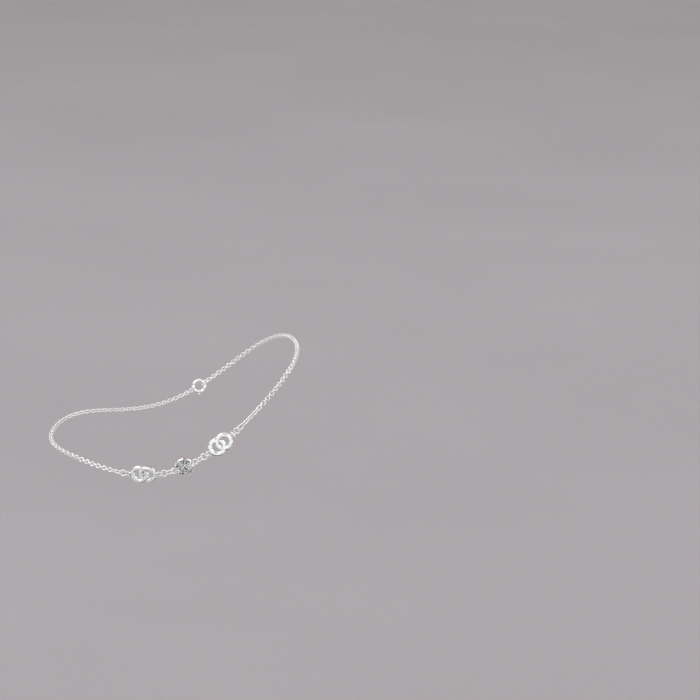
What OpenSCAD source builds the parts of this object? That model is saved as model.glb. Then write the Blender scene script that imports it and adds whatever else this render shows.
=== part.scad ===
// Anklet: a fine oval-link chain that carries two double-ring links and a disc set with stones.
// Sizes are in millimetres. The origin is the middle of the opening for the ankle,
// +Z runs up the leg, +X to the toes, and the near side, with the disc, faces -Y.

/* [Loop] */
// Half length of the worn loop, from heel to instep
half_length = 45; // [43:0.1:48]
// Half width of the worn loop, before its ends are filled out
half_width = 27.5; // [25:0.5:30]
// How much fuller the loop is at the instep than at the heel
front_fullness = 0.3; // [0.1:0.02:0.34]
// How square the loop's two ends are
squareness = 0.32; // [0.1:0.02:0.38]
// Half of the climb from the heel end to the instep end
half_climb = 17; // [12:0.1:18]
// How far the ends rise above the middle height, and the sides sag below it
side_sag = 8.2; // [5:0.1:9]
// Extra lift between the ends and the sides
shoulder_lift = 1.6; // [1:0.1:2.4]
// Half of the height from the near side, with the disc, to the far side, with the clasp
side_lean = 5.6; // [5:0.1:10]
// Angle of the disc round the loop, with the instep end at 0
disc_angle = -85; // [-90:0.1:-80]

/* [Chain] */
// Length of a chain link
link_length = 2; // [1.94:0.02:2.14]
// Width of a chain link
link_width = 1.68; // [1.5:0.02:1.8]
// Wire of a chain link
link_wire = 0.35; // [0.32:0.01:0.38]
// Least clearance between two linked wires
clearance = 0.12; // [0.11:0.01:0.16]

/* [Connecting rings] */
// Wire of the connecting rings
ring_wire = 0.45; // [0.42:0.01:0.48]
// Outer diameter of the ring in each eye of the disc
disc_ring_od = 2.5; // [2.4:0.05:2.6]
// Outer diameter of the ring after it, which stands edge-on
middle_ring_od = 2.95; // [2.8:0.05:3.1]
// Outer diameter of the ring after that, which lies flat
inner_ring_od = 2.85; // [2.75:0.05:3]
// Outer diameter of the small tie link round each cross bar
tie_link_od = 2.15; // [2.1:0.05:2.4]
// Outer diameter of the flat ring between a double ring and the chain
outer_ring_od = 2.75; // [2.6:0.05:2.9]
// Outer diameter of the ring that leads into the chain at the instep
lead_ring_od = 2.8; // [2.6:0.05:2.9]

/* [Double rings] */
// Outer diameter of each of the two linked rings
band_od = 6.5; // [6.2:0.1:6.6]
// Inner diameter of each of the two linked rings
band_id = 3.7; // [3.5:0.05:3.8]
// Distance between the centres of the two rings
band_spacing = 3; // [2.9:0.1:3.2]
// Thickness of the flat band
band_thick = 1.3; // [1:0.1:1.4]
// Width of the bevels along the edges of the band
bevel_width = 0.32; // [0.2:0.02:0.4]
// Depth of the bevels along the edges of the band
bevel_depth = 0.24; // [0.12:0.02:0.34]
// Tilt of each ring, so that one crosses over the other
band_tilt = 3; // [2:1:7]
// Distance from the centre of the double ring to each cross bar
bar_reach = 5.7; // [5.7:0.05:5.9]
// Length of a cross bar
bar_length = 2.7; // [2.4:0.1:3]
// Thickness of a cross bar
bar_wire = 0.5; // [0.44:0.02:0.54]

/* [Disc] */
// Outer diameter of the disc
disc_od = 6.9; // [6.85:0.05:7.1]
// Thickness of the disc
disc_thick = 0.9; // [0.8:0.05:1.2]
// Distance from the disc's centre to the wire of the ring in its eye
eye_reach = 3.32; // [3.25:0.01:3.4]
// Wire of the two small eyes
eye_wire = 0.3; // [0.28:0.01:0.36]
// Diameter of a stone
stone_d = 0.82; // [0.76:0.01:0.82]
// Distance between the circles of stones
stone_pitch = 0.92; // [0.92:0.01:0.94]

/* [Clasp] */
// Outer diameter of the clasp ring
clasp_od = 5.5; // [5:0.1:6]
// Wire of the clasp ring
clasp_wire = 1.1; // [1:0.05:1.2]
// Outer diameter of the eye on the clasp
clasp_eye_od = 1.7; // [1.6:0.05:1.8]
// Wire of the eye on the clasp
clasp_eye_wire = 0.44; // [0.4:0.02:0.46]
// Outer diameter of the end ring that the clasp hooks
end_ring_od = 3.4; // [3.3:0.1:3.6]
// Wire of the end ring
end_ring_wire = 0.5; // [0.44:0.02:0.54]

/* [Hidden] */
$fn = 32;

// How deep soldered pieces run into each other
solder_depth = 0.2;

// Sides of the disc along the loop
HEEL = -1;
INSTEP = 1;
// Flat pieces lie along the skin, and edge-on ones stand a quarter turn to it
FLAT = 0;
EDGE_ON = 1;
// Places in the row of pieces from the disc outwards
DISC_RING = 0;
MIDDLE_RING = 1;
INNER_RING = 2;
INNER_TIE = 3;
DOUBLE_RING = 4;
OUTER_TIE = 5;
OUTER_RING = 6;
LEAD_RING = 7;

// The loop as a closed curve, by its angle round the ankle
function loop_point(t) = let (c = cos(t)) [
  half_length * c,
  half_width * sin(t) * (1 + front_fullness * c + squareness * c * c),
  half_climb * c + side_sag * cos(2 * t) - shoulder_lift * cos(4 * t) + side_lean * sin(t)
];

// Length along the loop from the disc, against the angle
loop_steps = 1440;
function step_angle(i) = disc_angle + 360 * i / loop_steps;
function step_length(i) = norm(loop_point(step_angle(i + 1)) - loop_point(step_angle(i)));
length_table = [
  for (i = 0, run = 0; i <= loop_steps; run = run + step_length(i), i = i + 1) [run, step_angle(i)]
];
loop_length = length_table[loop_steps][0];

// The point at a distance along the loop: positive towards the instep, negative towards the heel
function point_at(s) = loop_point(lookup(s < 0 ? s + loop_length : s, length_table));

// How far a piece lies turned about the chain's own line.
// Columns: distance from the disc along the loop, degrees that its face looks down.
roll_stops = [
  [-130, 0], [-66, -20], [-30, -20], [-28, -8], [-25.5, 18], [-23, 14],
  [-5, 16], [8, 16], [10.5, 0], [20.5, 0], [23, 16], [25.5, 23],
  [32, 25], [36, 50], [42, 43], [50, 33], [60, 18], [66, 5], [130, 0]
];

// How far a ring reaches from its centre to where it meets the next one, half a clearance short
function ring_reach(od, wire) = od / 2 - wire - clearance / 2;

disc_reach = eye_reach + ring_wire / 2 + clearance / 2;
reaches = [
  ring_reach(disc_ring_od, ring_wire),
  ring_reach(middle_ring_od, ring_wire),
  ring_reach(inner_ring_od, ring_wire),
  ring_reach(tie_link_od, link_wire),
  bar_reach - bar_wire / 2 - clearance / 2,
  ring_reach(tie_link_od, link_wire),
  ring_reach(outer_ring_od, ring_wire),
  ring_reach(lead_ring_od, ring_wire)
];
// Where a piece of the row starts and where its middle is, from the disc's centre
function row_start(i) = i == 0 ? disc_reach : row_start(i - 1) + 2 * reaches[i - 1];
function row_middle(i) = row_start(i) + reaches[i];

// The clasp's eye and its two ends, from the centre of its ring
clasp_eye_at = (clasp_od + clasp_eye_od) / 2 - solder_depth;
clasp_ring_reach = ring_reach(clasp_od, clasp_wire);
clasp_eye_reach = clasp_eye_at + ring_reach(clasp_eye_od, clasp_eye_wire);
end_ring_reach = ring_reach(end_ring_od, end_ring_wire);
closure_length = 2 * end_ring_reach + clasp_ring_reach + clasp_eye_reach;

// Both chains have the same odd number of links, so that the ends keep their quarter turns
instep_chain_start = row_start(LEAD_RING) + 2 * reaches[LEAD_RING];
heel_chain_end = row_start(OUTER_RING) + 2 * reaches[OUTER_RING];
chain_length = (loop_length - instep_chain_start - heel_chain_end - closure_length) / 2;
links = 2 * ceil((chain_length / (2 * ring_reach(link_length, link_wire)) - 1) / 2) + 1;
link_pitch = chain_length / links;
end_ring_middle = instep_chain_start + chain_length + end_ring_reach;
clasp_start = end_ring_middle + end_ring_reach;

// Sets a piece in the loop: its x along the chain, its y up the leg and its z out from the skin
module on_loop(middle, reach, turn) {
  before = point_at(middle - reach);
  after = point_at(middle + reach);
  along = (after - before) / norm(after - before);
  side = cross(along, [0, 0, 1]);
  out = side / norm(side);
  up = cross(out, along);
  spot = (before + after) / 2;
  from_disc = middle > loop_length / 2 ? middle - loop_length : middle;
  multmatrix([
    [along.x, up.x, out.x, spot.x],
    [along.y, up.y, out.y, spot.y],
    [along.z, up.z, out.z, spot.z],
    [0, 0, 0, 1]
  ])
    rotate([lookup(from_disc, roll_stops) + 90 * turn, 0, 0])
      children();
}

// Sets a piece of the row on one side of the disc
module in_row(side, i, turn) {
  on_loop(side * row_middle(i), reaches[i], turn) children();
}

// A round ring of round wire
module wire_ring(od, wire) {
  rotate_extrude()
    translate([(od - wire) / 2, 0])
      circle(d = wire);
}

// An oval chain link: a half ring at each end and a straight side between them, above and below
module link() {
  straight = link_length - link_width;
  bend = (link_width - link_wire) / 2;
  for (turn = [0, 180])
    rotate([0, 0, turn]) {
      translate([straight / 2, 0, 0])
        rotate([0, 0, -90])
          rotate_extrude(angle = 180)
            translate([bend, 0])
              circle(d = link_wire);
      translate([0, bend, 0])
        rotate([0, 90, 0])
          cylinder(h = straight, d = link_wire, center = true);
    }
}

// Half of the fine chain
module chain(start, first_turn) {
  color("silver")
    for (i = [0 : links - 1])
      on_loop(start + link_pitch * (i + 0.5), link_pitch / 2, (i + first_turn) % 2)
        link();
}

module chain_instep() {
  chain(instep_chain_start, FLAT);
}

module chain_heel() {
  chain(loop_length - heel_chain_end - chain_length, EDGE_ON);
}

// One flat ring of a double ring, bevelled along its edges
module band_ring() {
  r_in = band_id / 2;
  r_out = band_od / 2;
  half = band_thick / 2;
  shoulder = half - bevel_depth;
  rotate_extrude()
    polygon([
      [r_in, -shoulder],
      [r_in + bevel_width, -half],
      [r_out - bevel_width, -half],
      [r_out, -shoulder],
      [r_out, shoulder],
      [r_out - bevel_width, half],
      [r_in + bevel_width, half],
      [r_in, shoulder]
    ]);
}

// The cross bar at one end of a double ring, on two short arms that leave a slot for the tie link
module cross_bar() {
  arm_gap = 0.35;
  arm_wire = 0.4;
  arm_start = (band_spacing + band_od) / 2 - 2 * solder_depth;
  straight = bar_length - bar_wire;
  translate([bar_reach, 0, 0]) {
    rotate([90, 0, 0])
      cylinder(h = straight, d = bar_wire, center = true);
    for (end = [-1, 1])
      translate([0, end * straight / 2, 0])
        sphere(d = bar_wire);
  }
  for (end = [-1, 1])
    translate([arm_start, end * (arm_gap + arm_wire / 2), 0])
      rotate([0, 90, 0])
        cylinder(h = bar_reach - arm_start, d = arm_wire);
}

// Two linked flat rings, soldered where they cross, with a cross bar at each end
module double_ring() {
  color("gainsboro") {
    for (end = [-1, 1])
      translate([end * band_spacing / 2, 0, 0])
        rotate([end * band_tilt, 0, 0])
          band_ring();
    cross_bar();
    mirror([1, 0, 0])
      cross_bar();
  }
}

module double_ring_heel() {
  in_row(HEEL, DOUBLE_RING, FLAT) double_ring();
}

module double_ring_instep() {
  in_row(INSTEP, DOUBLE_RING, FLAT) double_ring();
}

// The small links that join the cross bars to their neighbours
module tie_link() {
  color("silver") wire_ring(tie_link_od, link_wire);
}

module tie_link_heel_outer() {
  in_row(HEEL, OUTER_TIE, EDGE_ON) tie_link();
}

module tie_link_heel_inner() {
  in_row(HEEL, INNER_TIE, EDGE_ON) tie_link();
}

module tie_link_instep_inner() {
  in_row(INSTEP, INNER_TIE, EDGE_ON) tie_link();
}

module tie_link_instep_outer() {
  in_row(INSTEP, OUTER_TIE, EDGE_ON) tie_link();
}

// The rings between the double rings and the chain
module outer_ring() {
  color("lightgray") wire_ring(outer_ring_od, ring_wire);
}

module outer_ring_heel() {
  in_row(HEEL, OUTER_RING, FLAT) outer_ring();
}

module outer_ring_instep() {
  in_row(INSTEP, OUTER_RING, FLAT) outer_ring();
}

module lead_ring_instep() {
  in_row(INSTEP, LEAD_RING, EDGE_ON)
    color("lightgray") wire_ring(lead_ring_od, ring_wire);
}

// The three rings between a double ring and the disc
module inner_ring() {
  color("lightgray") wire_ring(inner_ring_od, ring_wire);
}

module inner_ring_heel() {
  in_row(HEEL, INNER_RING, FLAT) inner_ring();
}

module inner_ring_instep() {
  in_row(INSTEP, INNER_RING, FLAT) inner_ring();
}

module middle_ring() {
  color("lightgray") wire_ring(middle_ring_od, ring_wire);
}

module middle_ring_heel() {
  in_row(HEEL, MIDDLE_RING, EDGE_ON) middle_ring();
}

module middle_ring_instep() {
  in_row(INSTEP, MIDDLE_RING, EDGE_ON) middle_ring();
}

module disc_ring() {
  color("lightgray") wire_ring(disc_ring_od, ring_wire);
}

module disc_ring_heel() {
  in_row(HEEL, DISC_RING, FLAT) disc_ring();
}

module disc_ring_instep() {
  in_row(INSTEP, DISC_RING, FLAT) disc_ring();
}

// The disc's field of stones lies a little below its rim
rim_width = 0.24;
field_drop = 0.1;
field_z = disc_thick / 2 - field_drop;
notch_room = 0.36;
notch_r = disc_ring_od / 2 + notch_room;
notch_at = eye_reach + (disc_ring_od - ring_wire) / 2;

// Centres of the stones: one in the middle and three circles, less those where the notches are
stone_circles = 3;
stone_room = 0.1;
function clear_of_notch(p) =
  norm([abs(p.x) - notch_at, p.y]) > notch_r + stone_d / 2 + stone_room;
stone_spots = [
  [0, 0],
  for (k = [1 : stone_circles])
    for (i = [0 : 6 * k - 1])
      let (a = (i + 0.5) * 60 / k, p = k * stone_pitch * [cos(a), sin(a)])
        if (clear_of_notch(p)) p
];

// A stone's heights from its girdle: pavilion below, girdle edge and crown above
pavilion = 0.33;
girdle = 0.05;
crown = 0.17;
table_d = 0.5;
girdle_drop = 0.03;
seat_gap = 0.03;

// One cut stone with eight sides, a flat table and a pointed pavilion
module stone() {
  rotate_extrude($fn = 8)
    polygon([
      [0, -pavilion],
      [stone_d / 2, 0],
      [stone_d / 2, girdle],
      [table_d / 2, crown],
      [0, crown]
    ]);
}

// The disc with its polished rim, seats for the stones, a notch and an eye on a stem at each side
module disc_setting() {
  r = disc_od / 2;
  top = disc_thick / 2;
  edge = 0.12;
  lip = 0.04;
  stem_length = 0.4;
  seat_depth = pavilion + girdle_drop + seat_gap;
  difference() {
    rotate_extrude()
      polygon([
        [0, -top],
        [r - 2 * edge, -top],
        [r, -top + 2 * edge],
        [r, top - edge],
        [r - edge, top],
        [r - rim_width + lip, top],
        [r - rim_width, field_z],
        [0, field_z]
      ]);
    for (p = stone_spots)
      translate([p.x, p.y, field_z - seat_depth])
        cylinder(h = disc_thick, d = stone_d + 2 * seat_gap);
    for (side = [-1, 1])
      translate([side * notch_at, 0, 0])
        cylinder(h = 2 * disc_thick, r = notch_r, center = true);
  }
  eye_od = ring_wire + 2 * clearance + 2 * eye_wire;
  stem_end = eye_reach - (eye_od - eye_wire) / 2;
  for (side = [-1, 1]) {
    translate([side * eye_reach, 0, 0])
      rotate([90, 0, 0])
        wire_ring(eye_od, eye_wire);
    translate([side * (stem_end - stem_length / 2), 0, 0])
      rotate([0, 90, 0])
        cylinder(h = stem_length, d = eye_wire, center = true);
  }
}

module stone_disc() {
  on_loop(0, disc_reach, FLAT)
    color("silver") disc_setting();
}

module pave_stones() {
  on_loop(0, disc_reach, FLAT)
    color("white")
      for (p = stone_spots)
        translate([p.x, p.y, field_z - girdle_drop])
          stone();
}

// The ring at the chain's end and the clasp that hooks it, on the far side
module end_ring() {
  on_loop(end_ring_middle, end_ring_reach, EDGE_ON)
    color("lightgray") wire_ring(end_ring_od, end_ring_wire);
}

module clasp() {
  reach = (clasp_ring_reach + clasp_eye_reach) / 2;
  knob_d = 1;
  knob_angle = -60;
  on_loop(clasp_start + reach, reach, FLAT)
    translate([clasp_ring_reach - reach, 0, 0])
      color("darkgray") {
        wire_ring(clasp_od, clasp_wire);
        translate([clasp_eye_at, 0, 0])
          wire_ring(clasp_eye_od, clasp_eye_wire);
        rotate([0, 0, knob_angle])
          translate([(clasp_od + knob_d) / 2 - solder_depth, 0, 0])
            sphere(d = knob_d);
      }
}

chain_heel();
chain_instep();
double_ring_heel();
double_ring_instep();
tie_link_heel_outer();
tie_link_heel_inner();
tie_link_instep_inner();
tie_link_instep_outer();
outer_ring_heel();
outer_ring_instep();
lead_ring_instep();
inner_ring_heel();
inner_ring_instep();
middle_ring_heel();
middle_ring_instep();
disc_ring_heel();
disc_ring_instep();
stone_disc();
pave_stones();
end_ring();
clasp();
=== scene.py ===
"""The looks of a fine silver anklet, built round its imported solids.

Sizes are in millimetres and turn to metres when a piece is made. Each detailed piece takes the
place of the solid whose name it carries: same spot on the loop, same outer form.
"""

import math
import random

import bpy
import numpy as np
from mathutils import Matrix, Vector


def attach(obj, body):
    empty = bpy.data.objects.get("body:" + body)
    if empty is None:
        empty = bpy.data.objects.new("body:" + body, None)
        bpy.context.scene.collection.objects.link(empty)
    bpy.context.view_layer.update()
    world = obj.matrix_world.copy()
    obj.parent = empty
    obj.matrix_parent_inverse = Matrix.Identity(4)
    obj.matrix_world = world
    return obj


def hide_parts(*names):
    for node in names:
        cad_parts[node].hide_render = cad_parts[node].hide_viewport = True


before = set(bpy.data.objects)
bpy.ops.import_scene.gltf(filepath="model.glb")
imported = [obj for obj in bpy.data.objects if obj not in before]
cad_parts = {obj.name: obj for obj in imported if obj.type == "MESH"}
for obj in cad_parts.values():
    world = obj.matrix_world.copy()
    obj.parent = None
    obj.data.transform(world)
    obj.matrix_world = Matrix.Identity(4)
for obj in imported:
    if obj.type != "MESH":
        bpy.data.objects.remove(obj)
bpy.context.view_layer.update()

MM = 0.001

# The worn loop: half its length and width, its fullness, its rises and falls, and the disc's angle
HALF_LENGTH = 45
HALF_WIDTH = 27.5
FRONT_FULLNESS = 0.3
SQUARENESS = 0.32
HALF_CLIMB = 17
SIDE_SAG = 8.2
SHOULDER_LIFT = 1.6
SIDE_LEAN = 5.6
DISC_ANGLE = -85
LOOP_STEPS = 1440
# Roll of the pieces about the chain, in degrees, at distances along the loop from the disc
ROLL_STOPS = [
    (-130, 0), (-66, -20), (-30, -20), (-28, -8), (-25.5, 18), (-23, 14),
    (-5, 16), (8, 16), (10.5, 0), (20.5, 0), (23, 16), (25.5, 23),
    (32, 25), (36, 50), (42, 43), (50, 33), (60, 18), (66, 5), (130, 0),
]

# Chain and rings
LINK_LENGTH = 2
LINK_WIDTH = 1.68
LINK_WIRE = 0.35
CLEARANCE = 0.12
RING_WIRE = 0.45
DISC_RING_OD = 2.5
MIDDLE_RING_OD = 2.95
INNER_RING_OD = 2.85
TIE_LINK_OD = 2.15
OUTER_RING_OD = 2.75
LEAD_RING_OD = 2.8

# Double rings
BAND_OD = 6.5
BAND_ID = 3.7
BAND_SPACING = 3
BAND_THICK = 1.3
BEVEL_WIDTH = 0.32
BEVEL_DEPTH = 0.24
BAND_TILT = 3
BAR_REACH = 5.7
BAR_LENGTH = 2.7
BAR_WIRE = 0.5
ARM_WIRE = 0.4
ARM_GAP = 0.35
SOLDER_DEPTH = 0.2
BAND_ROUNDING = 0.06
ARM_FLARE = 0.09
ARM_FLARE_LENGTH = 0.1

# Disc and stones
DISC_THICK = 0.9
DISC_OD = 6.9
EYE_REACH = 3.32
RIM_WIDTH = 0.24
FIELD_DROP = 0.1
NOTCH_ROOM = 0.36
STONE_D = 0.82
STONE_PITCH = 0.92
STONE_CIRCLES = 3
STONE_ROOM = 0.1
PAVILION = 0.33
GIRDLE = 0.05
CROWN = 0.17
GIRDLE_DROP = 0.03

# Cut of a stone: radii as shares of its own, heights as shares of its crown and its pavilion
TABLE_SHARE = 0.56
STAR_SHARE = 0.76
STAR_RISE = 0.55
HALF_SHARE = 0.24
HALF_SINK = 0.78

# How far each stone is turned in its seat, in degrees
STONE_TILT = 8
STONE_SPIN = 45

# Bead prongs between the stones
BEAD_R = 0.085
BEAD_ROOT = 0.12
BEAD_LIFT = 0.05
BEAD_GAP = 0.075
BEAD_LEAST_GAP = 0.05
BEAD_LEAST_PITCH = 0.15
BEAD_RIM_GAP = 0.02
NEIGHBOUR_REACH = 1.3

# Clasp
CLASP_OD = 5.5
CLASP_WIRE = 1.1
CLASP_EYE_OD = 1.7
CLASP_EYE_WIRE = 0.44
END_RING_OD = 3.4
END_RING_WIRE = 0.5
KNOB_D = 1
KNOB_ANGLE = -60

# Play of each chain link: millimetres towards the ankle, then degrees about and across the chain
LINK_PLAY = (0.01, 0.04)
LINK_ROLL = 4
LINK_SWING = 2

# Solder on each chain link: its swelling as a share of the wire, and half its length
LINK_BEAD = 0.05
LINK_BEAD_HALF = 0.09

# Joints of the rings: degrees round the ring, swelling as a share of the wire, width in degrees
SOLDERED = (90, 0.1, 7)
SOLDERED_INSIDE = (-90, 0.1, 7)
CUT = (90, -0.28, 1.4)
CLASP_GATE = (150, -0.06, 1.5)
CLASP_EYE_JOINT = (180, 0.25, 18)
JOINT_STEPS = np.array([-2.2, -1.5, -1, -0.6, -0.3, 0, 0.3, 0.6, 1, 1.5, 2.2])
JOINT_FADE = 1.6

# Sides of each wire and steps round each ring
LINK_SIDES = 12
LINK_BEND_STEPS = 15
LINK_BEAD_STEPS = np.array([0.7, 0.4, 0.2, 0, -0.2, -0.4, -0.7])
RING_STEPS, RING_SIDES = 84, 20
BAND_STEPS = 144
BAR_SIDES = 20
BAR_END_ANGLES = [0, 20, 40, 60, 78, 90]
ARM_STEPS, ARM_SIDES = 13, 16
BEAD_SIDES = 10
BEAD_ANGLES = [0, 22, 45, 68]
CLASP_STEPS, CLASP_SIDES = 96, 24
CLASP_EYE_STEPS, CLASP_EYE_SIDES = 60, 16
KNOB_SIDES = 20

# Edges sharper than so many degrees stay sharp; 0 keeps every facet flat
BAND_CREASE = 24
BEAD_CREASE = 40
CLASP_CREASE = 50
FACETED = 0

# Sides of the disc, and how a piece lies on the skin
HEEL = -1
INSTEP = 1
FLAT = 0
EDGE_ON = 1


def loop_points(angles):
    """Points of the loop at these angles round the ankle."""
    c, s = np.cos(angles), np.sin(angles)
    return np.stack([
        HALF_LENGTH * c,
        HALF_WIDTH * s * (1 + FRONT_FULLNESS * c + SQUARENESS * c * c),
        HALF_CLIMB * c + SIDE_SAG * np.cos(2 * angles)
        - SHOULDER_LIFT * np.cos(4 * angles) + SIDE_LEAN * s,
    ], axis=-1)


STEP_ANGLES = np.radians(DISC_ANGLE + 360 * np.arange(LOOP_STEPS + 1) / LOOP_STEPS)
STEP_LENGTHS = np.linalg.norm(np.diff(loop_points(STEP_ANGLES), axis=0), axis=1)
RUN = np.concatenate([[0], np.cumsum(STEP_LENGTHS)])
LOOP_LENGTH = RUN[-1]


def point_at(s):
    """The point at a distance along the loop: positive to the instep, negative to the heel."""
    s = s + LOOP_LENGTH if s < 0 else s
    return loop_points(np.interp(s, RUN, STEP_ANGLES))


def ring_reach(od, wire):
    """From a ring's centre to where it meets the next one, half a clearance short."""
    return od / 2 - wire - CLEARANCE / 2


DISC_REACH = EYE_REACH + RING_WIRE / 2 + CLEARANCE / 2
ROW = ["disc_ring", "middle_ring", "inner_ring", "inner_tie", "double_ring", "outer_tie",
       "outer_ring", "lead_ring"]
REACH = {
    "disc_ring": ring_reach(DISC_RING_OD, RING_WIRE),
    "middle_ring": ring_reach(MIDDLE_RING_OD, RING_WIRE),
    "inner_ring": ring_reach(INNER_RING_OD, RING_WIRE),
    "inner_tie": ring_reach(TIE_LINK_OD, LINK_WIRE),
    "double_ring": BAR_REACH - BAR_WIRE / 2 - CLEARANCE / 2,
    "outer_tie": ring_reach(TIE_LINK_OD, LINK_WIRE),
    "outer_ring": ring_reach(OUTER_RING_OD, RING_WIRE),
    "lead_ring": ring_reach(LEAD_RING_OD, RING_WIRE),
}


def row_start(name):
    """Where a piece of the row starts, from the disc's centre."""
    return DISC_REACH + sum(2 * REACH[n] for n in ROW[:ROW.index(name)])


CLASP_EYE_AT = (CLASP_OD + CLASP_EYE_OD) / 2 - SOLDER_DEPTH
CLASP_RING_REACH = ring_reach(CLASP_OD, CLASP_WIRE)
CLASP_EYE_REACH = CLASP_EYE_AT + ring_reach(CLASP_EYE_OD, CLASP_EYE_WIRE)
END_RING_REACH = ring_reach(END_RING_OD, END_RING_WIRE)
CLOSURE_LENGTH = 2 * END_RING_REACH + CLASP_RING_REACH + CLASP_EYE_REACH
INSTEP_CHAIN_START = row_start("lead_ring") + 2 * REACH["lead_ring"]
HEEL_CHAIN_END = row_start("outer_ring") + 2 * REACH["outer_ring"]
CHAIN_LENGTH = (LOOP_LENGTH - INSTEP_CHAIN_START - HEEL_CHAIN_END - CLOSURE_LENGTH) / 2
LINKS = 2 * math.ceil((CHAIN_LENGTH / (2 * ring_reach(LINK_LENGTH, LINK_WIRE)) - 1) / 2) + 1
LINK_PITCH = CHAIN_LENGTH / LINKS
END_RING_MIDDLE = INSTEP_CHAIN_START + CHAIN_LENGTH + END_RING_REACH


def turn_about(axis, degrees):
    """A turn of so many degrees about X, Y or Z."""
    return np.array(Matrix.Rotation(math.radians(degrees), 4, axis))


def shift(x=0, y=0, z=0):
    """A move in millimetres."""
    return np.array(Matrix.Translation((x, y, z)))


def on_loop(middle, reach, turn):
    """Where a piece sits: x along the chain, y up the leg and z out from the skin.

    turn is FLAT on the skin or EDGE_ON, a quarter turn further.
    """
    before, after = point_at(middle - reach), point_at(middle + reach)
    along = (after - before) / np.linalg.norm(after - before)
    side = np.cross(along, [0, 0, 1])
    out = side / np.linalg.norm(side)
    up = np.cross(out, along)
    from_disc = middle - LOOP_LENGTH if middle > LOOP_LENGTH / 2 else middle
    roll = np.interp(from_disc, *zip(*ROLL_STOPS))
    place = np.eye(4)
    place[:3, 0], place[:3, 1], place[:3, 2], place[:3, 3] = along, up, out, (before + after) / 2
    return place @ turn_about("X", roll + 90 * turn)


def in_row(side, name, turn):
    """Where a piece of the row sits on one side of the disc."""
    return on_loop(side * (row_start(name) + REACH[name]), REACH[name], turn)


DISC_PLACE = on_loop(0, DISC_REACH, FLAT)


class Shape:
    """Points and faces of one piece, gathered in millimetres."""

    def __init__(self):
        self.points = []
        self.faces = []
        self.count = 0

    def add(self, mesh, place=None):
        """Adds points and faces, moved to their place."""
        points, faces = mesh
        points = np.asarray(points, float)
        if place is not None:
            points = points @ place[:3, :3].T + place[:3, 3]
        self.points.append(points)
        self.faces += [tuple(i + self.count for i in f) for f in faces]
        self.count += len(points)
        return self

    def make(self, name, material, smooth_angle=None):
        """Turns the shape into an object that rides with the part, smooth up to an angle."""
        mesh = bpy.data.meshes.new(name)
        mesh.from_pydata((np.concatenate(self.points) * MM).tolist(), [], self.faces)
        mesh.materials.append(material)
        mesh.polygons.foreach_set("use_smooth", [smooth_angle != FACETED] * len(mesh.polygons))
        if smooth_angle:
            mesh.set_sharp_from_angle(angle=math.radians(smooth_angle))
        mesh.update()
        piece = bpy.data.objects.new(name, mesh)
        bpy.context.scene.collection.objects.link(piece)
        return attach(piece, "root")


def rings_of_points(sections, closed):
    """Skins rows of points, each a closed section, into quads."""
    rows, count = len(sections), len(sections[0])
    points = np.concatenate(sections)
    faces = []
    for i in range(rows if closed else rows - 1):
        a, b = i * count, (i + 1) % rows * count
        faces += [(a + j, b + j, b + (j + 1) % count, a + (j + 1) % count) for j in range(count)]
    return points, faces


def lathe(profile, sides):
    """A closed solid turned about the x axis, from (x, radius) pairs that start and end at 0."""
    inner = profile[1:-1]
    turns = np.arange(sides) * 2 * math.pi / sides
    sections = [
        np.stack([np.full(sides, x), r * np.cos(turns), r * np.sin(turns)], axis=1)
        for x, r in inner
    ]
    points, faces = rings_of_points(sections, closed=False)
    first, last = len(points), len(points) + 1
    points = np.concatenate([points, [[profile[0][0], 0, 0], [profile[-1][0], 0, 0]]])
    end = (len(inner) - 1) * sides
    for j in range(sides):
        k = (j + 1) % sides
        faces.append((first, j, k))
        faces.append((last, end + k, end + j))
    return points, faces


def revolve(profile, segments):
    """A closed ring turned about the z axis, from (radius, z) pairs."""
    sections = []
    for i in range(segments):
        a = 2 * math.pi * i / segments
        sections.append(np.array([[r * math.cos(a), r * math.sin(a), z] for r, z in profile]))
    return rings_of_points(sections, closed=True)


def wire_ring(od, wire, segments, sides, joint):
    """A ring of round wire. Its joint is a bead of solder, or a cut where the size is negative."""
    joint_angle, joint_size, joint_width = joint
    spread = joint_width * JOINT_STEPS
    past_joint = spread[-1] * 1.2
    plain = np.arange(segments) * 360 / segments
    plain = plain[(plain > past_joint) & (plain < 360 - past_joint)]
    angles = np.concatenate([spread, plain])
    around = np.arange(sides) * 2 * math.pi / sides
    sections = []
    for a in angles:
        off = (a + 180) % 360 - 180
        r = wire / 2 * (1 + joint_size * math.exp(-(off / joint_width) ** 2 * JOINT_FADE))
        turn = math.radians(a + joint_angle)
        reach = (od - wire) / 2 + r * np.cos(around)
        sections.append(np.stack([
            reach * math.cos(turn), reach * math.sin(turn), r * np.sin(around)
        ], axis=1))
    return rings_of_points(sections, closed=True)


def wire_link(joint_turn):
    """An oval chain link: two half rings and two straight sides, one of them with solder on it."""
    straight = LINK_LENGTH - LINK_WIDTH
    bend = (LINK_WIDTH - LINK_WIRE) / 2
    around = np.arange(LINK_SIDES) * 2 * math.pi / LINK_SIDES
    sections = []
    for turn in (0, 180):
        path = [(straight / 2, a, 0) for a in np.linspace(-90, 90, LINK_BEND_STEPS)]
        path += [(x, 90, LINK_BEAD if turn == joint_turn else 0)
                 for x in straight / 2 * LINK_BEAD_STEPS]
        for x, a, swollen in path:
            r = LINK_WIRE / 2 * (1 + swollen * math.exp(-(x / LINK_BEAD_HALF) ** 2))
            way = math.radians(a)
            reach = bend + r * np.cos(around)
            section = np.stack([
                x + reach * math.cos(way), reach * math.sin(way), r * np.sin(around)
            ], axis=1)
            sections.append(section @ turn_about("Z", turn)[:3, :3].T)
    return rings_of_points(sections, closed=True)


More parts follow.
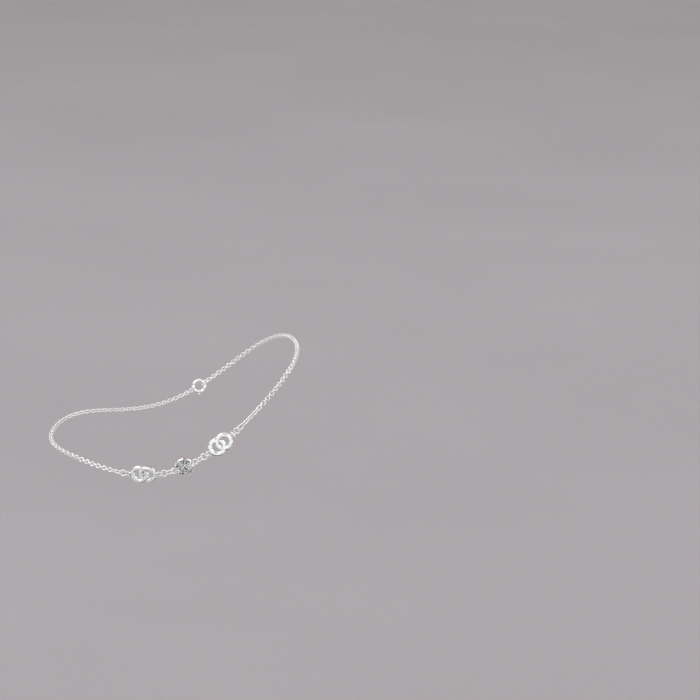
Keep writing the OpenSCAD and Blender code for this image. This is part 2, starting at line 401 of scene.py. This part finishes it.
def rounded(corners, radius, steps=3):
    """Rounds each corner of a closed outline of (x, y) pairs."""
    corners = [np.array(c, float) for c in corners]
    out = []
    for i, corner in enumerate(corners):
        before, after = corners[i - 1] - corner, corners[(i + 1) % len(corners)] - corner
        a = corner + before / np.linalg.norm(before) * radius
        b = corner + after / np.linalg.norm(after) * radius
        for k in range(steps + 1):
            t = k / steps
            out.append((1 - t) ** 2 * a + 2 * t * (1 - t) * corner + t ** 2 * b)
    return out


# Where the middle of a noise texture's range starts and ends
NOISE_LOW, NOISE_HIGH = 0.3, 0.7


def principled(name):
    """A new material with its shader, ready for links."""
    material = bpy.data.materials.new(name)
    material.use_nodes = True
    tree = material.node_tree
    return material, tree, tree.nodes["Principled BSDF"]


def noise(tree, scale, stretch=(1, 1, 1), detail=3.0):
    """Noise in the object's own space, with features per metre, stretched along an axis."""
    place = tree.nodes.new("ShaderNodeTexCoord")
    mapping = tree.nodes.new("ShaderNodeMapping")
    mapping.inputs["Scale"].default_value = stretch
    texture = tree.nodes.new("ShaderNodeTexNoise")
    texture.inputs["Scale"].default_value = scale
    texture.inputs["Detail"].default_value = detail
    tree.links.new(place.outputs["Object"], mapping.inputs["Vector"])
    tree.links.new(mapping.outputs["Vector"], texture.inputs["Vector"])
    return texture


def remap(tree, value, low, high, new_low, new_high):
    """Maps a texture's range to another."""
    node = tree.nodes.new("ShaderNodeMapRange")
    node.inputs["From Min"].default_value = low
    node.inputs["From Max"].default_value = high
    node.inputs["To Min"].default_value = new_low
    node.inputs["To Max"].default_value = new_high
    tree.links.new(value, node.inputs["Value"])
    return node.outputs["Result"]


def roughness(tree, shader, texture, smooth, rough):
    """Lets a noise texture vary a shader's roughness between two values."""
    value = remap(tree, texture.outputs["Fac"], NOISE_LOW, NOISE_HIGH, smooth, rough)
    tree.links.new(value, shader.inputs["Roughness"])


def ramp(tree, value, stops):
    """A colour ramp from (place, colour) pairs."""
    node = tree.nodes.new("ShaderNodeValToRGB")
    for i, (place, colour) in enumerate(stops):
        stop = node.color_ramp.elements[i] if i < 2 else node.color_ramp.elements.new(place)
        stop.position = place
        stop.color = (*colour, 1)
    tree.links.new(value, node.inputs["Fac"])
    return node.outputs["Color"]


def bump(tree, shader, height, strength, distance):
    """Adds fine relief to a shader."""
    node = tree.nodes.new("ShaderNodeBump")
    node.inputs["Strength"].default_value = strength
    node.inputs["Distance"].default_value = distance
    tree.links.new(height, node.inputs["Height"])
    tree.links.new(node.outputs["Normal"], shader.inputs["Normal"])


def multiply(tree, a, b):
    """The product of two colours or shades."""
    mix = tree.nodes.new("ShaderNodeMix")
    mix.data_type = "RGBA"
    mix.blend_type = "MULTIPLY"
    mix.inputs["Factor"].default_value = 1.0
    tree.links.new(a, mix.inputs["A"])
    tree.links.new(b, mix.inputs["B"])
    return mix.outputs["Result"]


# Features per metre of the clouds, the polish and the drawn lines in silver
CLOUDS, POLISH, DRAWN = 700, 2500, 1500
ACROSS_DRAWING = (1, 6, 6)
DRAWN_DEPTH = 0.00002
# How open a corner is where its painted shade is full and where it ends
CORNER_SHUT, CORNER_OPEN = 0.1, 0.8
CORNER_SAMPLES = 8


def silver(name, light, dark, polish, relief, recess, shade, tarnish_and_shade=None):
    """Polished silver: a cloudy polish, fine drawn lines, painted shade in its recesses, and any
    darkening passed in, such as tarnished silver with painted shade.

    polish is the least and most roughness, recess the reach in metres of the painted shade in
    corners, and shade what is left of the colour there.
    """
    material, tree, shader = principled(name)
    shader.inputs["Metallic"].default_value = 1.0
    cloud = noise(tree, CLOUDS)
    tone = ramp(tree, cloud.outputs["Fac"], [(NOISE_LOW, dark), (NOISE_HIGH, light)])
    # Painted shade: the colour darkens where corners, creases and touching parts close round the
    # surface.
    corner = tree.nodes.new("ShaderNodeAmbientOcclusion")
    corner.inputs["Distance"].default_value = recess
    corner.samples = CORNER_SAMPLES
    left = remap(tree, corner.outputs["AO"], CORNER_SHUT, CORNER_OPEN, shade, 1)
    colour = multiply(tree, tone, left)
    if tarnish_and_shade:
        colour = multiply(tree, colour, tarnish_and_shade(tree))
    tree.links.new(colour, shader.inputs["Base Color"])
    roughness(tree, shader, noise(tree, POLISH, detail=5), *polish)
    lines = noise(tree, DRAWN, stretch=ACROSS_DRAWING, detail=6)
    bump(tree, shader, lines.outputs["Fac"], relief, DRAWN_DEPTH)
    return material


# The sunk field of the disc, tarnished and given painted shade between the stones: where it fades
# at the rim and in height, and what its colour keeps
FIELD_EDGE = (DISC_OD / 2 - RIM_WIDTH - 0.04, DISC_OD / 2 - RIM_WIDTH + 0.01)
FIELD_HEIGHT = (0.2, 0.25)
FIELD_SHADE = 0.9


def field_tarnish_and_shade(tree):
    """Where the silver between the stones is tarnished and painted darker as shade: 1 outside the
    disc's field, less inside it.
    """
    place = tree.nodes.new("ShaderNodeTexCoord")
    local = tree.nodes.new("ShaderNodeMapping")
    local.vector_type = "TEXTURE"
    local.inputs["Location"].default_value = DISC_PLACE[:3, 3] * MM
    local.inputs["Rotation"].default_value = Matrix(DISC_PLACE).to_euler()
    local.inputs["Scale"].default_value = (MM, MM, MM)
    tree.links.new(place.outputs["Object"], local.inputs["Vector"])
    flat = tree.nodes.new("ShaderNodeVectorMath")
    flat.operation = "MULTIPLY"
    flat.inputs[1].default_value = (1, 1, 0)
    tree.links.new(local.outputs["Vector"], flat.inputs[0])
    reach = tree.nodes.new("ShaderNodeVectorMath")
    reach.operation = "LENGTH"
    tree.links.new(flat.outputs["Vector"], reach.inputs[0])
    parts = tree.nodes.new("ShaderNodeSeparateXYZ")
    tree.links.new(local.outputs["Vector"], parts.inputs["Vector"])
    within = remap(tree, reach.outputs["Value"], *FIELD_EDGE, 1, 0)
    on_top = remap(tree, parts.outputs["Z"], *FIELD_HEIGHT, 0, 1)
    return remap(tree, multiply(tree, within, on_top), 0, 1, 1, FIELD_SHADE)


STONE_IOR = 2.16
STONE_BLUISH = (0.93, 0.95, 0.98)
STONE_WHITE = (1, 1, 1)
# Features per metre of a stone's tint and haze, and of the painted dark patches behind it
TINT, HAZE, PATCHES = 1100, 5000, 1500


def clear_stone(name):
    """A clear cut stone, with faint clouds in its clarity and tint."""
    material, tree, shader = principled(name)
    shader.inputs["IOR"].default_value = STONE_IOR
    shader.inputs["Transmission Weight"].default_value = 1.0
    tint = noise(tree, TINT, detail=2)
    colour = ramp(tree, tint.outputs["Fac"], [(0.35, STONE_BLUISH), (0.65, STONE_WHITE)])
    tree.links.new(colour, shader.inputs["Base Color"])
    roughness(tree, shader, noise(tree, HAZE, detail=2), 0, 0.04)
    return material


# Painted dark reflections: the foil's colour drops to near black in patches where a facet would
# return no light.
FOIL_DARK = (0.03, 0.03, 0.04)
FOIL_LIGHT = (0.98, 0.98, 0.98)
FOIL_STOPS = [(0.45, FOIL_DARK), (0.49, FOIL_LIGHT)]


def foil(name):
    """The mirror behind a stone, with painted dark patches standing in for facets that send no
    light back.
    """
    material, tree, shader = principled(name)
    shader.inputs["Metallic"].default_value = 1.0
    patches = noise(tree, PATCHES, detail=2)
    colour = ramp(tree, patches.outputs["Fac"], FOIL_STOPS)
    tree.links.new(colour, shader.inputs["Base Color"])
    roughness(tree, shader, patches, 0.02, 0.06)
    return material


FLOOR_DARK = (0.335, 0.308, 0.323)
FLOOR_LIGHT = (0.358, 0.33, 0.346)
# Features per metre of the floor's mottle and grain, and the grain's depth
MOTTLE, GRAIN = 5, 900
GRAIN_DEPTH = 0.0003


def floor_paint(name):
    """A pale matt floor with a faint mottle."""
    material, tree, shader = principled(name)
    mottle = noise(tree, MOTTLE, detail=4)
    colour = ramp(tree, mottle.outputs["Fac"], [(NOISE_LOW, FLOOR_DARK), (NOISE_HIGH, FLOOR_LIGHT)])
    tree.links.new(colour, shader.inputs["Base Color"])
    grain = noise(tree, GRAIN, detail=3)
    roughness(tree, shader, grain, 0.6, 0.75)
    bump(tree, shader, grain.outputs["Fac"], 0.05, GRAIN_DEPTH)
    return material


# Each silver gets painted shade in its corners and between touching parts: recess is its reach in
# metres, shade the share of colour left.
CHAIN_SILVER = silver("chain_silver", light=(0.94, 0.94, 0.94), dark=(0.86, 0.86, 0.87),
                      polish=(0.07, 0.15), relief=0.2, recess=0.0006, shade=0.2)
RING_SILVER = silver("ring_silver", light=(0.94, 0.94, 0.94), dark=(0.87, 0.87, 0.88),
                     polish=(0.06, 0.13), relief=0.2, recess=0.0006, shade=0.2)
BAND_SILVER = silver("band_silver", light=(0.87, 0.87, 0.87), dark=(0.81, 0.81, 0.82),
                     polish=(0.08, 0.18), relief=0.25, recess=0.001, shade=0.1)
SETTING_SILVER = silver("setting_silver", light=(0.94, 0.94, 0.94), dark=(0.88, 0.88, 0.89),
                        polish=(0.05, 0.12), relief=0.2, recess=0.0005, shade=0.1)
# The disc's field between the stones is tarnished and given painted shade as well.
DISC_SILVER = silver("disc_silver", light=(0.94, 0.94, 0.94), dark=(0.88, 0.88, 0.89),
                     polish=(0.05, 0.12), relief=0.2, recess=0.0005, shade=0.3,
                     tarnish_and_shade=field_tarnish_and_shade)
STONE = clear_stone("clear_stone")
FOIL = foil("stone_foil")


def chain(node, start, first_turn, seed):
    """Half of the fine chain, each link with its bead of solder and a little play."""
    chance = random.Random(seed)
    links = Shape()
    for i in range(LINKS):
        place = on_loop(start + LINK_PITCH * (i + 0.5), LINK_PITCH / 2, (i + first_turn) % 2)
        inward = -place[:3, 3] / np.linalg.norm(place[:3, 3]) * chance.uniform(*LINK_PLAY)
        roll = turn_about("X", chance.uniform(-LINK_ROLL, LINK_ROLL))
        swing = turn_about("Z", chance.uniform(-LINK_SWING, LINK_SWING))
        links.add(wire_link(chance.choice([0, 180])), shift(*inward) @ place @ (roll @ swing))
    piece = links.make(node + "_links", CHAIN_SILVER)
    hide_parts(node)


def ring_piece(node, place, od, wire, joint):
    """One ring of the row, soldered shut or with the cut of a jump ring."""
    ring = wire_ring(od, wire, RING_STEPS, RING_SIDES, joint)
    piece = Shape().add(ring, place).make(node + "_wire", RING_SILVER)
    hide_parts(node)


def band_ring():
    """One flat ring of a double ring, its bevels softly rounded by polishing."""
    r_in, r_out = BAND_ID / 2, BAND_OD / 2
    half = BAND_THICK / 2
    shoulder = half - BEVEL_DEPTH
    outline = [
        (r_in, -shoulder), (r_in + BEVEL_WIDTH, -half), (r_out - BEVEL_WIDTH, -half),
        (r_out, -shoulder), (r_out, shoulder), (r_out - BEVEL_WIDTH, half),
        (r_in + BEVEL_WIDTH, half), (r_in, shoulder),
    ]
    return revolve(rounded(outline, BAND_ROUNDING), BAND_STEPS)


def capsule(length, wire, sides):
    """A round bar along x with round ends."""
    straight = (length - wire) / 2
    cap = [(straight + wire / 2 * math.sin(a), wire / 2 * math.cos(a))
           for a in np.radians(BAR_END_ANGLES)]
    return lathe([(-x, r) for x, r in reversed(cap)] + cap, sides)


def arm(length):
    """A short arm along x, flared where it is soldered at both ends."""
    profile = [(0, 0)]
    for x in np.linspace(0, length, ARM_STEPS):
        edge = min(x, length - x)
        profile.append((x, ARM_WIRE / 2 + ARM_FLARE * math.exp(-edge / ARM_FLARE_LENGTH)))
    return lathe(profile + [(length, 0)], ARM_SIDES)


def double_ring(node, side):
    """Two linked flat rings with a cross bar at each end."""
    place = in_row(side, "double_ring", FLAT)
    shape = Shape()
    for end in (-1, 1):
        tilt = shift(x=end * BAND_SPACING / 2) @ turn_about("X", end * BAND_TILT)
        shape.add(band_ring(), place @ tilt)
    arm_start = (BAND_SPACING + BAND_OD) / 2 - 2 * SOLDER_DEPTH
    for turn in (0, 180):
        half = place @ turn_about("Z", turn)
        bar_place = half @ shift(x=BAR_REACH) @ turn_about("Z", 90)
        shape.add(capsule(BAR_LENGTH, BAR_WIRE, BAR_SIDES), bar_place)
        for end in (-1, 1):
            at = shift(x=arm_start, y=end * (ARM_GAP + ARM_WIRE / 2))
            shape.add(arm(BAR_REACH - arm_start), half @ at)
    piece = shape.make(node + "_cast", BAND_SILVER, BAND_CREASE)
    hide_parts(node)


def stone_spots():
    """Centres of the stones on the disc: one in the middle and three circles round it."""
    notch_r = DISC_RING_OD / 2 + NOTCH_ROOM
    notch_at = EYE_REACH + (DISC_RING_OD - RING_WIRE) / 2
    spots = [(0.0, 0.0)]
    for k in range(1, STONE_CIRCLES + 1):
        for i in range(6 * k):
            a = math.radians((i + 0.5) * 60 / k)
            x, y = k * STONE_PITCH * math.cos(a), k * STONE_PITCH * math.sin(a)
            if math.hypot(abs(x) - notch_at, y) > notch_r + STONE_D / 2 + STONE_ROOM:
                spots.append((x, y))
    return spots


# Faces of a stone above its foil: the table and six more for each eighth of its crown and girdle
CROWN_FACES = 49


def brilliant():
    """A round brilliant: table, stars, kites and girdle facets above, mains and halves below."""
    r = STONE_D / 2
    table_z, table_r = CROWN, TABLE_SHARE * r
    star_z, star_r = GIRDLE + STAR_RISE * (CROWN - GIRDLE), STAR_SHARE * r
    half_z, half_r = -HALF_SINK * PAVILION, HALF_SHARE * r

    def circle(count, radius, z, first):
        turns = first + 2 * math.pi * np.arange(count) / count
        return [(radius * math.cos(a), radius * math.sin(a), z) for a in turns]

    eighth = 2 * math.pi / 8
    points = (circle(8, table_r, table_z, 0) + circle(8, star_r, star_z, eighth / 2)
              + circle(16, r, GIRDLE, 0) + circle(16, r, 0, 0)
              + circle(8, half_r, half_z, eighth / 2) + [(0, 0, -PAVILION)])
    table, star, top, low, half, culet = 0, 8, 16, 32, 48, 56
    crown = [tuple(table + i for i in range(8))]
    pavilion = []
    for i in range(8):
        n = (i + 1) % 8
        here, between, after = 2 * i, 2 * i + 1, (2 * i + 2) % 16
        crown += [
            (table + n, table + i, star + i),
            (table + i, star + (i - 1) % 8, top + here, star + i),
            (star + i, top + here, top + between),
            (star + i, top + between, top + after),
            (top + here, low + here, low + between, top + between),
            (top + between, low + between, low + after, top + after),
        ]
        pavilion += [
            (half + i, low + between, low + here),
            (half + i, low + after, low + between),
            (culet, half + i, low + here, half + (i - 1) % 8),
        ]
    return points, crown + pavilion


def stones(place, seed):
    """The cut stones, each turned its own way in its seat."""
    chance = random.Random(seed)
    field_z = DISC_THICK / 2 - FIELD_DROP
    shape = Shape()
    for x, y in stone_spots():
        seat = shift(x, y, field_z - GIRDLE_DROP)
        for axis, least, most in (("X", -STONE_TILT, STONE_TILT), ("Y", -STONE_TILT, STONE_TILT),
                                  ("Z", 0, STONE_SPIN)):
            seat = seat @ turn_about(axis, chance.uniform(least, most))
        shape.add(brilliant(), place @ seat)
    piece = shape.make("pave_stones_cut", STONE, FACETED)
    piece.data.materials.append(FOIL)
    stone_faces = len(brilliant()[1])
    for i, face in enumerate(piece.data.polygons):
        if i % stone_faces >= CROWN_FACES:
            face.material_index = 1
    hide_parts("pave_stones")


def bead_spots():
    """Where the bead prongs stand: in the gaps between three stones, and between stones and rim."""
    spots = stone_spots()
    inner = DISC_OD / 2 - RIM_WIDTH
    found = []
    for i, a in enumerate(spots):
        for j in range(i + 1, len(spots)):
            b = spots[j]
            apart = math.dist(a, b)
            if apart > NEIGHBOUR_REACH:
                continue
            mid = ((a[0] + b[0]) / 2, (a[1] + b[1]) / 2)
            across = (-(b[1] - a[1]), b[0] - a[0])
            norm = math.hypot(*across)
            reach = math.sqrt(max((STONE_D / 2 + BEAD_GAP) ** 2 - (apart / 2) ** 2, 0))
            for way in (-1, 1):
                p = (mid[0] + way * reach * across[0] / norm,
                     mid[1] + way * reach * across[1] / norm)
                clear = min(math.dist(p, s) for s in spots) > STONE_D / 2 + BEAD_LEAST_GAP
                fresh = all(math.dist(p, q) > BEAD_LEAST_PITCH for q in found)
                if clear and fresh and math.hypot(*p) < inner - BEAD_RIM_GAP:
                    found.append(p)
    return found


def beads(place):
    """The bead prongs that hold the stones."""
    dome = [(-BEAD_ROOT, 0), (-BEAD_ROOT, BEAD_R)] + [
        (BEAD_R * math.sin(a), BEAD_R * math.cos(a)) for a in np.radians(BEAD_ANGLES)
    ] + [(BEAD_R, 0)]
    top = DISC_THICK / 2 - FIELD_DROP + BEAD_LIFT
    shape = Shape()
    for x, y in bead_spots():
        shape.add(lathe(dome, BEAD_SIDES), place @ shift(x, y, top) @ turn_about("Y", -90))
    piece = shape.make("pave_beads", SETTING_SILVER, BEAD_CREASE)


def clasp():
    """The ring clasp, with the ends of its gate, its thumb knob and its soldered eye."""
    reach = (CLASP_RING_REACH + CLASP_EYE_REACH) / 2
    place = (on_loop(END_RING_MIDDLE + END_RING_REACH + reach, reach, FLAT)
             @ shift(x=CLASP_RING_REACH - reach))
    shape = Shape()
    shape.add(wire_ring(CLASP_OD, CLASP_WIRE, CLASP_STEPS, CLASP_SIDES, CLASP_GATE), place)
    eye = wire_ring(CLASP_EYE_OD, CLASP_EYE_WIRE, CLASP_EYE_STEPS, CLASP_EYE_SIDES, CLASP_EYE_JOINT)
    shape.add(eye, place @ shift(x=CLASP_EYE_AT))
    r = KNOB_D / 2
    knob = [(-r * math.cos(a), r * math.sin(a)) for a in np.radians(range(15, 180, 15))]
    at = place @ turn_about("Z", KNOB_ANGLE) @ shift(x=(CLASP_OD + KNOB_D) / 2 - SOLDER_DEPTH)
    shape.add(lathe([(-r, 0)] + knob + [(r, 0)], KNOB_SIDES), at)
    piece = shape.make("clasp_ring", RING_SILVER, CLASP_CREASE)
    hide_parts("clasp")


chain("chain_instep", INSTEP_CHAIN_START, FLAT, seed=11)
chain("chain_heel", LOOP_LENGTH - HEEL_CHAIN_END - CHAIN_LENGTH, EDGE_ON, seed=12)
double_ring("double_ring_heel", HEEL)
double_ring("double_ring_instep", INSTEP)

# Small links and rings: node, side, place in the row, turn, outer diameter, wire and joint
RINGS = [
    ("tie_link_heel_outer", HEEL, "outer_tie", EDGE_ON, TIE_LINK_OD, LINK_WIRE, SOLDERED),
    ("tie_link_heel_inner", HEEL, "inner_tie", EDGE_ON, TIE_LINK_OD, LINK_WIRE, SOLDERED),
    ("tie_link_instep_inner", INSTEP, "inner_tie", EDGE_ON, TIE_LINK_OD, LINK_WIRE, SOLDERED),
    ("tie_link_instep_outer", INSTEP, "outer_tie", EDGE_ON, TIE_LINK_OD, LINK_WIRE,
     SOLDERED_INSIDE),
    ("outer_ring_heel", HEEL, "outer_ring", FLAT, OUTER_RING_OD, RING_WIRE, CUT),
    ("outer_ring_instep", INSTEP, "outer_ring", FLAT, OUTER_RING_OD, RING_WIRE, CUT),
    ("lead_ring_instep", INSTEP, "lead_ring", EDGE_ON, LEAD_RING_OD, RING_WIRE, SOLDERED),
    ("inner_ring_heel", HEEL, "inner_ring", FLAT, INNER_RING_OD, RING_WIRE, SOLDERED),
    ("inner_ring_instep", INSTEP, "inner_ring", FLAT, INNER_RING_OD, RING_WIRE, SOLDERED),
    ("middle_ring_heel", HEEL, "middle_ring", EDGE_ON, MIDDLE_RING_OD, RING_WIRE, CUT),
    ("middle_ring_instep", INSTEP, "middle_ring", EDGE_ON, MIDDLE_RING_OD, RING_WIRE, CUT),
    ("disc_ring_heel", HEEL, "disc_ring", FLAT, DISC_RING_OD, RING_WIRE, SOLDERED),
    ("disc_ring_instep", INSTEP, "disc_ring", FLAT, DISC_RING_OD, RING_WIRE, SOLDERED),
]
for node, side, name, turn, od, wire, joint in RINGS:
    ring_piece(node, in_row(side, name, turn), od, wire, joint)
ring_piece("end_ring", on_loop(END_RING_MIDDLE, END_RING_REACH, EDGE_ON),
           END_RING_OD, END_RING_WIRE, SOLDERED_INSIDE)

# The disc keeps its solid and gets its silver, its stones and their prongs
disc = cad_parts["stone_disc"]
disc.data.materials.clear()
disc.data.materials.append(DISC_SILVER)
stones(DISC_PLACE, seed=5)
beads(DISC_PLACE)
clasp()

# Camera: where the photograph's was, 800 mm off and 16 degrees up, aimed to its framing.
# ORIGIN_PIXEL is where the middle of the ankle's opening falls in a picture 700 pixels wide.
ELEVATION = math.radians(16)
DISTANCE = 800
SENSOR = 36
PIXELS = 700
PIXELS_PER_MM = 2.71
ORIGIN_PIXEL = (173.9, 408.6)
back = Vector((0, -math.cos(ELEVATION), math.sin(ELEVATION)))
up = Vector((0, math.sin(ELEVATION), math.cos(ELEVATION)))
camera = bpy.data.objects.new("camera", bpy.data.cameras.new("camera"))
bpy.context.scene.collection.objects.link(camera)
camera.data.sensor_width = SENSOR
camera.data.lens = SENSOR * PIXELS_PER_MM * DISTANCE / PIXELS
camera.data.clip_start, camera.data.clip_end = 0.01, 50
camera.location = back * DISTANCE * MM
aim = (Vector((1, 0, 0)) * (PIXELS / 2 - ORIGIN_PIXEL[0])
       + up * (ORIGIN_PIXEL[1] - PIXELS / 2)) / PIXELS_PER_MM * MM
forward = (aim - camera.location).normalized()
right = forward.cross(up).normalized()
camera.rotation_mode = "QUATERNION"
axes = Matrix((right, right.cross(forward), -forward)).transposed()
camera.rotation_quaternion = axes.to_quaternion()
bpy.context.scene.camera = camera

# Floor at the height of the sole, 12 metres wide. The silver mirrors only the studio's walls.
FLOOR_Z = -62
FLOOR_HALF = 6
floor_mesh = bpy.data.meshes.new("floor")
corners = [(x * FLOOR_HALF, y * FLOOR_HALF, FLOOR_Z * MM)
           for x, y in ((-1, -1), (1, -1), (1, 1), (-1, 1))]
floor_mesh.from_pydata(corners, [], [(0, 1, 2, 3)])
floor_mesh.materials.append(floor_paint("floor_paint"))
floor = bpy.data.objects.new("floor", floor_mesh)
bpy.context.scene.collection.objects.link(floor)
floor.visible_glossy = False


def softbox(name, place, size, power):
    """A rectangular studio light, in metres and watts, aimed at the middle of the loop."""
    data = bpy.data.lights.new(name, "AREA")
    data.shape = "RECTANGLE"
    data.size, data.size_y = size
    data.energy = power
    light = bpy.data.objects.new(name, data)
    bpy.context.scene.collection.objects.link(light)
    light.location = place
    light.rotation_mode = "QUATERNION"
    light.rotation_quaternion = (-Vector(place)).to_track_quat("-Z", "Y")


softbox("key", place=(-0.9, -1.1, 1.3), size=(0.9, 0.9), power=10)
softbox("fill", place=(1.3, -0.9, 0.7), size=(0.7, 1.1), power=3)
softbox("top", place=(0.1, 0.5, 1.6), size=(1.4, 0.6), power=6)

# The studio's walls: how bright they are from straight down, 0, to straight up, 1
WALLS = [
    (0, 0.06), (0.055, 0.12), (0.08, 0.7), (0.15, 0.72), (0.21, 0.8), (0.23, 0.05), (0.265, 0.05),
    (0.28, 1.05), (0.46, 1.1), (0.5, 0.04), (0.54, 0.05), (0.58, 1.2), (0.8, 1.1), (0.87, 0.06),
    (1, 0.9),
]


def surroundings(name):
    """A plain grey studio all round, whose bands of light and shade the silver mirrors."""
    world = bpy.data.worlds.new(name)
    world.use_nodes = True
    tree = world.node_tree
    place = tree.nodes.new("ShaderNodeTexCoord")
    parts = tree.nodes.new("ShaderNodeSeparateXYZ")
    tree.links.new(place.outputs["Generated"], parts.inputs["Vector"])
    height = remap(tree, parts.outputs["Z"], -1, 1, 0, 1)
    grey = ramp(tree, height, [(at, (tone, tone, tone)) for at, tone in WALLS])
    tree.links.new(grey, tree.nodes["Background"].inputs["Color"])
    bpy.context.scene.world = world


surroundings("studio")
bpy.context.scene.view_settings.view_transform = "Standard"
